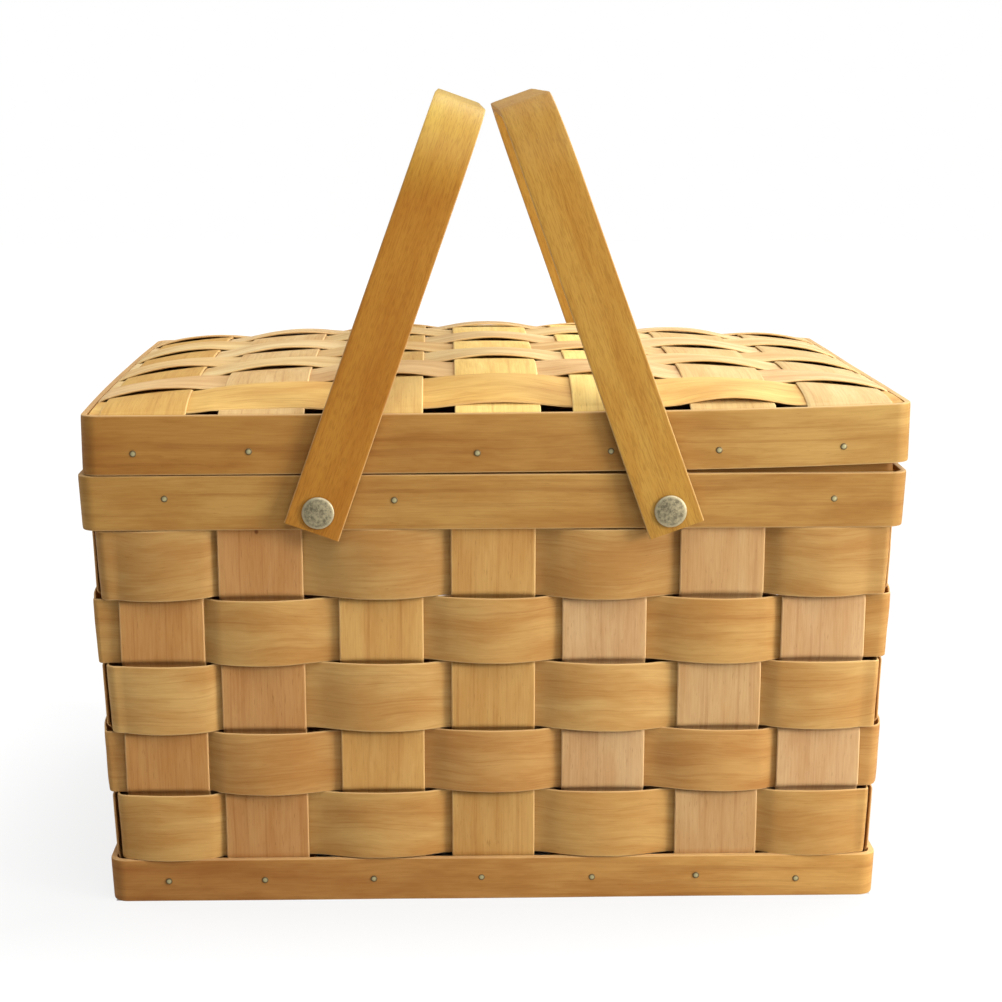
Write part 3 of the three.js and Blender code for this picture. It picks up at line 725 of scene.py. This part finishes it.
for i, y in enumerate(LID_ROW_PLACES):
    top = []
    outside = [(i + j) % 2 == 1 for j in range(len(LID_COLUMN_PLACES))]
    steps, bows, roll = (FRONT_STEPS, FRONT_BOWS, FRONT_ROLL) if i == 0 else (ROW_STEPS, ROW_BOWS, ROW_ROLL)
    # The further back a row is, the more it arches and the less it rolls forward.
    if 0 < i < LID_ROWS - 1:
        raised = roll * i / LID_ROWS * LID_ROW_WIDTH / 2
        bows, roll = (bows[0], bows[1] + raised), roll * (1 - i / LID_ROWS)
    for k in range(ROW_POINTS + 1):
        x = DOME_HALF_WIDTH * math.sin(math.pi / 2 * (2 * k / ROW_POINTS - 1)) * TOP_SHARE
        offset = weave_offset(x, LID_COLUMN_PLACES, outside, steps, bows)
        column = min(range(len(outside)), key=lambda c: abs(LID_COLUMN_PLACES[c] - x))
        from_middle = (x - LID_COLUMN_PLACES[column]) / (STAKE_WIDTH * SWELL_REACH)
        swell = max(0.0, 1 - from_middle ** 2) if outside[column] else 0.0
        fade = min(1.0, (DOME_HALF_WIDTH - abs(x)) / EDGE_FADE)
        drop = front_drop(x) * swell if i == 0 else 0.0
        top.append((x, dome(x, y) + (offset - drop / 2) * fade, roll * swell - drop / LID_ROW_WIDTH))
    stations = strip_stations(top, TUCK_HALF_WIDTH, Vector((1, 0, 0)), Vector((0, 1, 0)), y, LID_ROW_WIDTH)
    strip = bend_splint(f"lid_row_{i + 1}", settled(stations), weaver_pine, ROW_TONES[i], 91 + i,
                        LID_ROW_WIDTH)
    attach(strip, "lid")
    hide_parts(f"lid_side_to_side_strip_{i + 1}")

# Handles: two hoops of steamed beech strap that swing on rivets through the rim.
# The strap is planed flat and its edges are eased.
# A clear coat warms it to orange brown, and a painted highlight makes it paler towards the top of each hoop.
PIVOT_X, PIVOT_HEIGHT = 84.3, 201.8
HANDLE_LEAN = math.radians(19.7)
HANDLE_REACH = 205
HANDLE_WIDTH, HANDLE_THICKNESS = 27.6, 4.5
HANDLE_TAPER = 0.07
HANDLE_TAIL = 10
HANDLE_BEND, HANDLE_BEND_STEPS = 40, 16
HANDLE_LEG, HANDLE_KNEE = 148.45, 60
HANDLE_STEP = 3.0
HIGHLIGHT_FROM, HIGHLIGHT_TO = 350, 392

# Coated beech: orange brown, densely flecked, with a slight sheen.
handle_beech = sliced_wood(
    "clear-coated beech strap", "#efe0cc", "#b37a40",
    line_width=2.0, line_depth=0.22, wander=1.5, flecks_from=0.5, fleck_depth=0.2, roughness=0.42)

for name, sign, tone, paler in (("left", -1, "#ad782d", "#b79a42"),
                               ("right", 1, "#b68c40", "#ba9246")):
    top = HANDLE_REACH - HANDLE_THICKNESS / 2
    corners = [(-HANDLE_LEG, -HANDLE_TAIL), (-HANDLE_LEG, HANDLE_KNEE)]
    for k in range(HANDLE_BEND_STEPS + 1):
        turn = math.pi - math.pi / 2 * k / HANDLE_BEND_STEPS
        corners.append((-(HANDLE_LEG - HANDLE_BEND) + HANDLE_BEND * math.cos(turn),
                        top - HANDLE_BEND + HANDLE_BEND * math.sin(turn)))
    corners += [(-y, z) for y, z in reversed(corners)]
    turned = Matrix.Rotation(-sign * HANDLE_LEAN, 3, "Y")
    pivot = Vector((sign * PIVOT_X, 0, PIVOT_HEIGHT))
    points = sampled([pivot + turned @ Vector((0, y, z)) for y, z in corners], HANDLE_STEP)
    side = turned @ Vector((1, 0, 0))
    heights = [max(0.0, (p.z - PIVOT_HEIGHT) / HANDLE_REACH) for p in points]
    stations = [Station(p, side.cross(t).normalized(), side, 1 - HANDLE_TAPER * height)
                for p, t, height in zip(points, tangents(points), heights)]
    handle = bend_splint(f"{name}_hoop", stations, handle_beech, tone, 101 + sign, HANDLE_WIDTH,
                         HANDLE_THICKNESS, BAND_EDGES, ripple=(0.1, 60))
    # Painted highlight: the tone turns paler between these heights, strongly on the left handle and barely on
    # the right.
    drift_tone(handle, tone, paler, lambda place: (place.z - HIGHLIGHT_FROM) / (HIGHLIGHT_TO - HIGHLIGHT_FROM))
    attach(handle, f"{name}_handle")
    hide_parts(f"{name}_handle")

# Rivets: four turned studs with low domed heads, dull nickel on steel.
# Each passes through handle, rim and inner band, and its tail is spread inside.
RIVET_HEAD = 15.6
RIVET_SHANK = 5.0
RIVET_TAIL, RIVET_TAIL_THICKNESS, TAIL_EDGE = 10.0, 1.5, 0.5
RIVET_HEAD_INSIDE = 151.0
RIVET_TAIL_OUTSIDE = 136.0
HEAD_EDGE, HEAD_SIDE, HEAD_SHOULDER, HEAD_DOME = 0.3, 0.7, 1.05, 1.15
SHOULDER_INSET = 0.25
RIVET_STEPS = 48

fixing_tree, given = start_tree("fixings", (
    ("Points", "Geometry"), ("Fixing", "Object"), ("Seed", "Int"), ("Metal", "Material")), "Fixings")
shape = add_node(fixing_tree, "GeometryNodeObjectInfo", {
    "Object": given["Fixing"]}, transform_space="ORIGINAL")
facing = add_node(fixing_tree, "GeometryNodeInputNamedAttribute", {
    "Name": "facing"}, data_type="FLOAT_VECTOR")
spin = add_node(fixing_tree, "FunctionNodeRandomValue", {
    2: 0.0, 3: 6.28, "Seed": given["Seed"]}, data_type="FLOAT")
spun = add_node(fixing_tree, "ShaderNodeCombineXYZ", {2: spin.outputs[1]})
aimed = add_node(fixing_tree, "FunctionNodeAlignRotationToVector", {
    "Rotation": spun, "Vector": facing}, axis="Z")
placed = add_node(fixing_tree, "GeometryNodeInstanceOnPoints", {
    "Points": given["Points"], "Instance": shape.outputs["Geometry"], "Rotation": aimed})
realized = add_node(fixing_tree, "GeometryNodeRealizeInstances", {"Geometry": placed})
covered = add_node(fixing_tree, "GeometryNodeSetMaterial", {"Geometry": realized, "Material": given["Metal"]})
add_node(fixing_tree, "NodeGroupOutput", {"Fixings": covered})


# A turned shape about Z from a profile of radius and height, closed at both ends.
def turned_shape(name, profile, steps):
    verts = [Vector((0, 0, profile[0][1])) * MM]
    for radius, height in profile[1:-1]:
        for k in range(steps):
            turn = 2 * math.pi * k / steps
            verts.append(Vector((radius * math.cos(turn), radius * math.sin(turn), height)) * MM)
    verts.append(Vector((0, 0, profile[-1][1])) * MM)
    rings = len(profile) - 2
    faces = []
    for k in range(steps):
        n = (k + 1) % steps
        faces.append((0, 1 + n, 1 + k))
        for r in range(rings - 1):
            a, b = 1 + r * steps, 1 + (r + 1) * steps
            faces.append((a + k, a + n, b + n, b + k))
        last = 1 + (rings - 1) * steps
        faces.append((last + k, last + n, len(verts) - 1))
    mesh = bpy.data.meshes.new(name)
    mesh.from_pydata(verts, [], faces)
    widest = max(v.xy.length for v in verts)
    shares = [v.xy.length / widest for v in verts]
    mesh.attributes.new("rim", "FLOAT", "POINT").data.foreach_set("value", shares)
    return bpy.data.objects.new(name, mesh)


def fix_all(name, places, shape, metal, seed):
    mesh = bpy.data.meshes.new(name)
    mesh.from_pydata([place * MM for place, facing in places], [], [])
    flat = [c for place, facing in places for c in facing]
    mesh.attributes.new("facing", "FLOAT_VECTOR", "POINT").data.foreach_set("vector", flat)
    return make_piece(name, mesh, fixing_tree, {"Fixing": shape, "Seed": seed, "Metal": metal})


# Dull nickel plate on steel: a cool grey satin, blotched dark by handling, that turns paler towards the rim
# of the head.
MOTTLE_SIZE = 1.7
dull_nickel, tree, shader = start_material("dull nickel-plated steel")
place = add_node(tree, "ShaderNodeTexCoord").outputs["Object"]
rim = add_node(tree, "ShaderNodeAttribute", attribute_name="rim").outputs["Fac"]
mottle = add_node(tree, "ShaderNodeTexNoise", {
    "Vector": place, "W": 7.0, "Scale": 1 / (MOTTLE_SIZE * MM), "Detail": 4.0, "Roughness": 0.75},
    noise_dimensions="4D")
blotch = add_node(tree, "ShaderNodeMapRange", {"Value": mottle, "From Min": 0.38, "From Max": 0.6})
handled = add_node(tree, "ShaderNodeMix", {
    0: blotch, 6: linear("#716853"), 7: linear("#aea381")}, data_type="RGBA")
# The head's colour turns paler towards its rim.
paler = add_node(tree, "ShaderNodeMapRange", {"Value": rim, "From Min": 0.8, "From Max": 0.94, "To Max": 0.8})
colour = add_node(tree, "ShaderNodeMix", {
    0: paler, 6: handled.outputs[2], 7: linear("#bfb493")}, data_type="RGBA")
rough = add_node(tree, "ShaderNodeMapRange", {"Value": mottle, "To Min": 0.42, "To Max": 0.62})
bump = add_node(tree, "ShaderNodeBump", {"Height": mottle, "Strength": 0.3, "Distance": 0.15 * MM})
feed(shader, {"Base Color": colour.outputs[2], "Roughness": rough, "Normal": bump, "Metallic": 0.7})

head = RIVET_HEAD / 2
tail = RIVET_TAIL / 2
tail_end = RIVET_TAIL_OUTSIDE - RIVET_TAIL_THICKNESS
shoulder = RIVET_HEAD_INSIDE + HEAD_SHOULDER
rivet_profile = [(0, tail_end), (tail - TAIL_EDGE, tail_end), (tail, tail_end + TAIL_EDGE),
                 (tail, RIVET_TAIL_OUTSIDE), (RIVET_SHANK / 2, RIVET_TAIL_OUTSIDE),
                 (RIVET_SHANK / 2, RIVET_HEAD_INSIDE), (head - HEAD_EDGE, RIVET_HEAD_INSIDE),
                 (head, RIVET_HEAD_INSIDE + HEAD_EDGE), (head, RIVET_HEAD_INSIDE + HEAD_SIDE),
                 (head - SHOULDER_INSET, shoulder)]
rivet_profile += [(head * (1 - t), shoulder + HEAD_DOME * (1 - (1 - t) ** 2))
                  for t in (0.08, 0.18, 0.3, 0.45, 0.62, 0.8)]
rivet_profile.append((0, shoulder + HEAD_DOME))
rivet_shape = turned_shape("rivet", rivet_profile, RIVET_STEPS)
rivet_places = [(Vector((x * PIVOT_X, 0, PIVOT_HEIGHT)), Vector((0, y, 0))) for x in (-1, 1) for y in (-1, 1)]
rivets = fix_all("handle_rivets", rivet_places, rivet_shape, dull_nickel, 3)
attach(rivets, "basket")
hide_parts("left_front_rivet", "left_back_rivet", "right_front_rivet", "right_back_rivet")

# Nails: small brass-washed steel nails driven through the bands into the splint ends.
# Their heads stand a fraction of a millimetre proud, darkened round the edge.
NAIL_HEAD = 3.3
NAIL_RISE = 0.45
NAIL_LENGTH = 3.4
NAIL_STEPS = 12
NAIL_POINT, NAIL_SHANK, NAIL_EDGE = 0.5, 0.6, 0.35
NAIL_SCATTER = 1.2
FOOT_NAILS, RIM_NAILS, LID_NAILS = 10.5, 207.5, 229.5

# Brass-washed steel: a pale grey-green head, darker and browner towards its rim.
brass_washed_steel, tree, shader = start_material("brass-washed steel, dark-rimmed")
rim = add_node(tree, "ShaderNodeAttribute", attribute_name="rim").outputs["Fac"]
rim_darkening = add_node(tree, "ShaderNodeMapRange", {"Value": rim, "From Min": 0.45, "From Max": 0.85})
colour = add_node(tree, "ShaderNodeMix", {
    0: rim_darkening, 6: linear("#b5ad82"), 7: linear("#665130")}, data_type="RGBA")
feed(shader, {"Base Color": colour.outputs[2], "Metallic": 0.6, "Roughness": 0.45})

head = NAIL_HEAD / 2
nail_profile = [(0, -NAIL_LENGTH), (NAIL_POINT, -NAIL_LENGTH + NAIL_POINT), (NAIL_SHANK, -0.1), (head, 0.0),
                (head, NAIL_RISE * 0.5), (head - NAIL_EDGE, NAIL_RISE), (0, NAIL_RISE + 0.05)]
nail_shape = turned_shape("nail", nail_profile, NAIL_STEPS)
scatter = random.Random(5)


def scattered(height):
    return height + scatter.uniform(-NAIL_SCATTER, NAIL_SCATTER)


def wall_nails(height, places, reach, wall):
    return [(Vector((x, wall * reach, scattered(height))), Vector((0, wall, 0))) for x in places]


def end_nails(height, places, reach):
    return [(Vector((side * reach, y, scattered(height))), Vector((side, 0, 0)))
            for side in (-1, 1) for y in places]


def reach_at(height, half):
    return half - WALL_SLOPE * (RIM_TOP - height)


basket_nails = []
for height, front, rear, ends in (
        (FOOT_NAILS, (-163, -115, -60.5, -6.5, 49, 101.5, 152), LONG_PLACES, SHORT_PLACES),
        (RIM_NAILS, (-158, -48, 164), (-160, -52, 4, 50, 158), (-104, 2, 108))):
    basket_nails += wall_nails(height, front, reach_at(height, HALF_DEPTH), -1)
    basket_nails += wall_nails(height, rear, reach_at(height, HALF_DEPTH), 1)
    basket_nails += end_nails(height, ends, reach_at(height, HALF_WIDTH))
lid_nails = wall_nails(LID_NAILS, [-174, -119, -64, -10, 54, 106, 166], HALF_DEPTH, -1)
lid_nails += wall_nails(LID_NAILS, LID_COLUMN_PLACES, HALF_DEPTH, 1)
lid_nails += end_nails(LID_NAILS, [p + 2 for p in LID_ROW_PLACES], LID_HALF_WIDTH)
lid_nails = [(settle(place), facing) for place, facing in lid_nails]
for name, places, body in (("basket_nails", basket_nails, "basket"), ("lid_nails", lid_nails, "lid")):
    nails = fix_all(name, places, nail_shape, brass_washed_steel, 9)
    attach(nails, body)

# Studio: a white table and backdrop, which only the camera sees as bright.
# A soft key lamp stands low on the right, with a broad lamp above on the right, a smaller one above the
# front and a weak one on the left.
WORLD_LIGHT = 0.3
TABLE_REACH = 4
TABLE_GLOW = 1.08
FOOT_HALF_SIZE = (0.192, 0.137, 1)
SHADOW_REACH = 2.2

world = bpy.data.worlds.new("white studio")
bpy.context.scene.world = world
world.use_nodes = True
tree = world.node_tree
light_path = add_node(tree, "ShaderNodeLightPath").outputs
level = add_node(tree, "ShaderNodeMapRange", {
    "Value": light_path["Is Camera Ray"], "To Min": WORLD_LIGHT, "To Max": 1.0})
feed(tree.nodes["Background"], {"Color": (1, 1, 1, 1), "Strength": level})


def soft_lamp(name, place, target, width, power, colour):
    lamp = bpy.data.objects.new(name, bpy.data.lights.new(name, "AREA"))
    lamp.data.size = width
    lamp.data.energy = power
    lamp.data.color = linear(colour)[:3]
    lamp.location = place
    lamp.rotation_euler = (Vector(place) - Vector(target)).to_track_quat("Z", "Y").to_euler()
    bpy.context.scene.collection.objects.link(lamp)


soft_lamp("key_lamp", (1.15, -0.75, 0.5), (0, -0.1, 0.12), width=0.5, power=17, colour="#fffaf2")
soft_lamp("top_lamp", (1.0, 0.6, 1.5), (0, 0, 0.2), width=2.6, power=60, colour="#ffffff")
soft_lamp("front_lamp", (0.3, -1.0, 1.65), (0, 0, 0.2), width=1.0, power=15, colour="#ffffff")
soft_lamp("back_lamp", (-1.4, 0.5, 0.8), (0, 0, 0.15), width=0.8, power=7, colour="#ffffff")

table = bpy.data.objects.new("white_table", bpy.data.meshes.new("white_table"))
corners = [Vector((x, y, 0)) * TABLE_REACH for x, y in ((-1, -1), (1, -1), (1, 1), (-1, 1))]
table.data.from_pydata(corners, [], [(0, 1, 2, 3)])
bpy.context.scene.collection.objects.link(table)

# White laminate: pure white away from the basket, and a soft grey shadow close to it, partly its real shadow
# and partly painted shade where the glow fades towards the basket.
white, tree, shader = start_material("white laminate")
feed(shader, {"Base Color": linear("#b8b8b8"), "Roughness": 0.7})
glow = add_node(tree, "ShaderNodeEmission", {"Color": (1, 1, 1, 1), "Strength": TABLE_GLOW})
light_path = add_node(tree, "ShaderNodeLightPath").outputs
spot = add_node(tree, "ShaderNodeTexCoord").outputs["Object"]
ends = add_node(tree, "ShaderNodeVectorMath", {0: spot, 1: FOOT_HALF_SIZE}, operation="DIVIDE")
sides = add_node(tree, "ShaderNodeVectorMath", {0: ends}, operation="ABSOLUTE")
sides = add_node(tree, "ShaderNodeSeparateXYZ", {0: sides})
reach = add_node(tree, "ShaderNodeMath", {0: sides, 1: sides.outputs[1]}, operation="MAXIMUM")
# Painted shade: the camera's glow is weaker close to the basket, so the floor there is darker even where no
# shadow falls.
clear = add_node(tree, "ShaderNodeMapRange", {
    "Value": reach, "From Min": 1.0, "From Max": SHADOW_REACH, "To Min": 0.75, "To Max": 0.99},
    interpolation_type="SMOOTHSTEP")
under = add_node(tree, "ShaderNodeMath", {0: reach, 1: 0.99}, operation="GREATER_THAN")
open_floor = add_node(tree, "ShaderNodeMath", {0: under, 1: clear}, operation="MULTIPLY")
share = add_node(tree, "ShaderNodeMath", {
    0: light_path["Is Camera Ray"], 1: open_floor}, operation="MULTIPLY")
mixed = add_node(tree, "ShaderNodeMixShader", {0: share, 1: shader, 2: glow})
feed(tree.nodes["Material Output"], {"Surface": mixed})
table.data.materials.append(white)

# Camera: a long lens a little above the lid, at the photograph's angle.
FOCAL_PIXELS, PICTURE_PIXELS = 2078.0, 1002
DISTANCE = 1146.5
AZIMUTH, ELEVATION, ROLL = -0.0235, 0.2022, -0.0005
AIM = Vector((6.6, 0, 176.25))

back = Vector((math.sin(AZIMUTH) * math.cos(ELEVATION), -math.cos(AZIMUTH) * math.cos(ELEVATION),
               math.sin(ELEVATION)))
level_right = Vector((math.cos(AZIMUTH), math.sin(AZIMUTH), 0))
level_up = level_right.cross(-back)
right = level_right * math.cos(ROLL) + level_up * math.sin(ROLL)
up = level_up * math.cos(ROLL) - level_right * math.sin(ROLL)
camera = bpy.data.objects.new("camera", bpy.data.cameras.new("camera"))
view = Matrix((right, up, back)).transposed().to_4x4()
view.translation = (AIM + back * DISTANCE) * MM
camera.matrix_world = view
camera.data.sensor_width = 36
camera.data.lens = FOCAL_PIXELS / PICTURE_PIXELS * camera.data.sensor_width
camera.data.clip_end = 20
bpy.context.scene.collection.objects.link(camera)
bpy.context.scene.camera = camera
bpy.context.scene.view_settings.view_transform = "Standard"
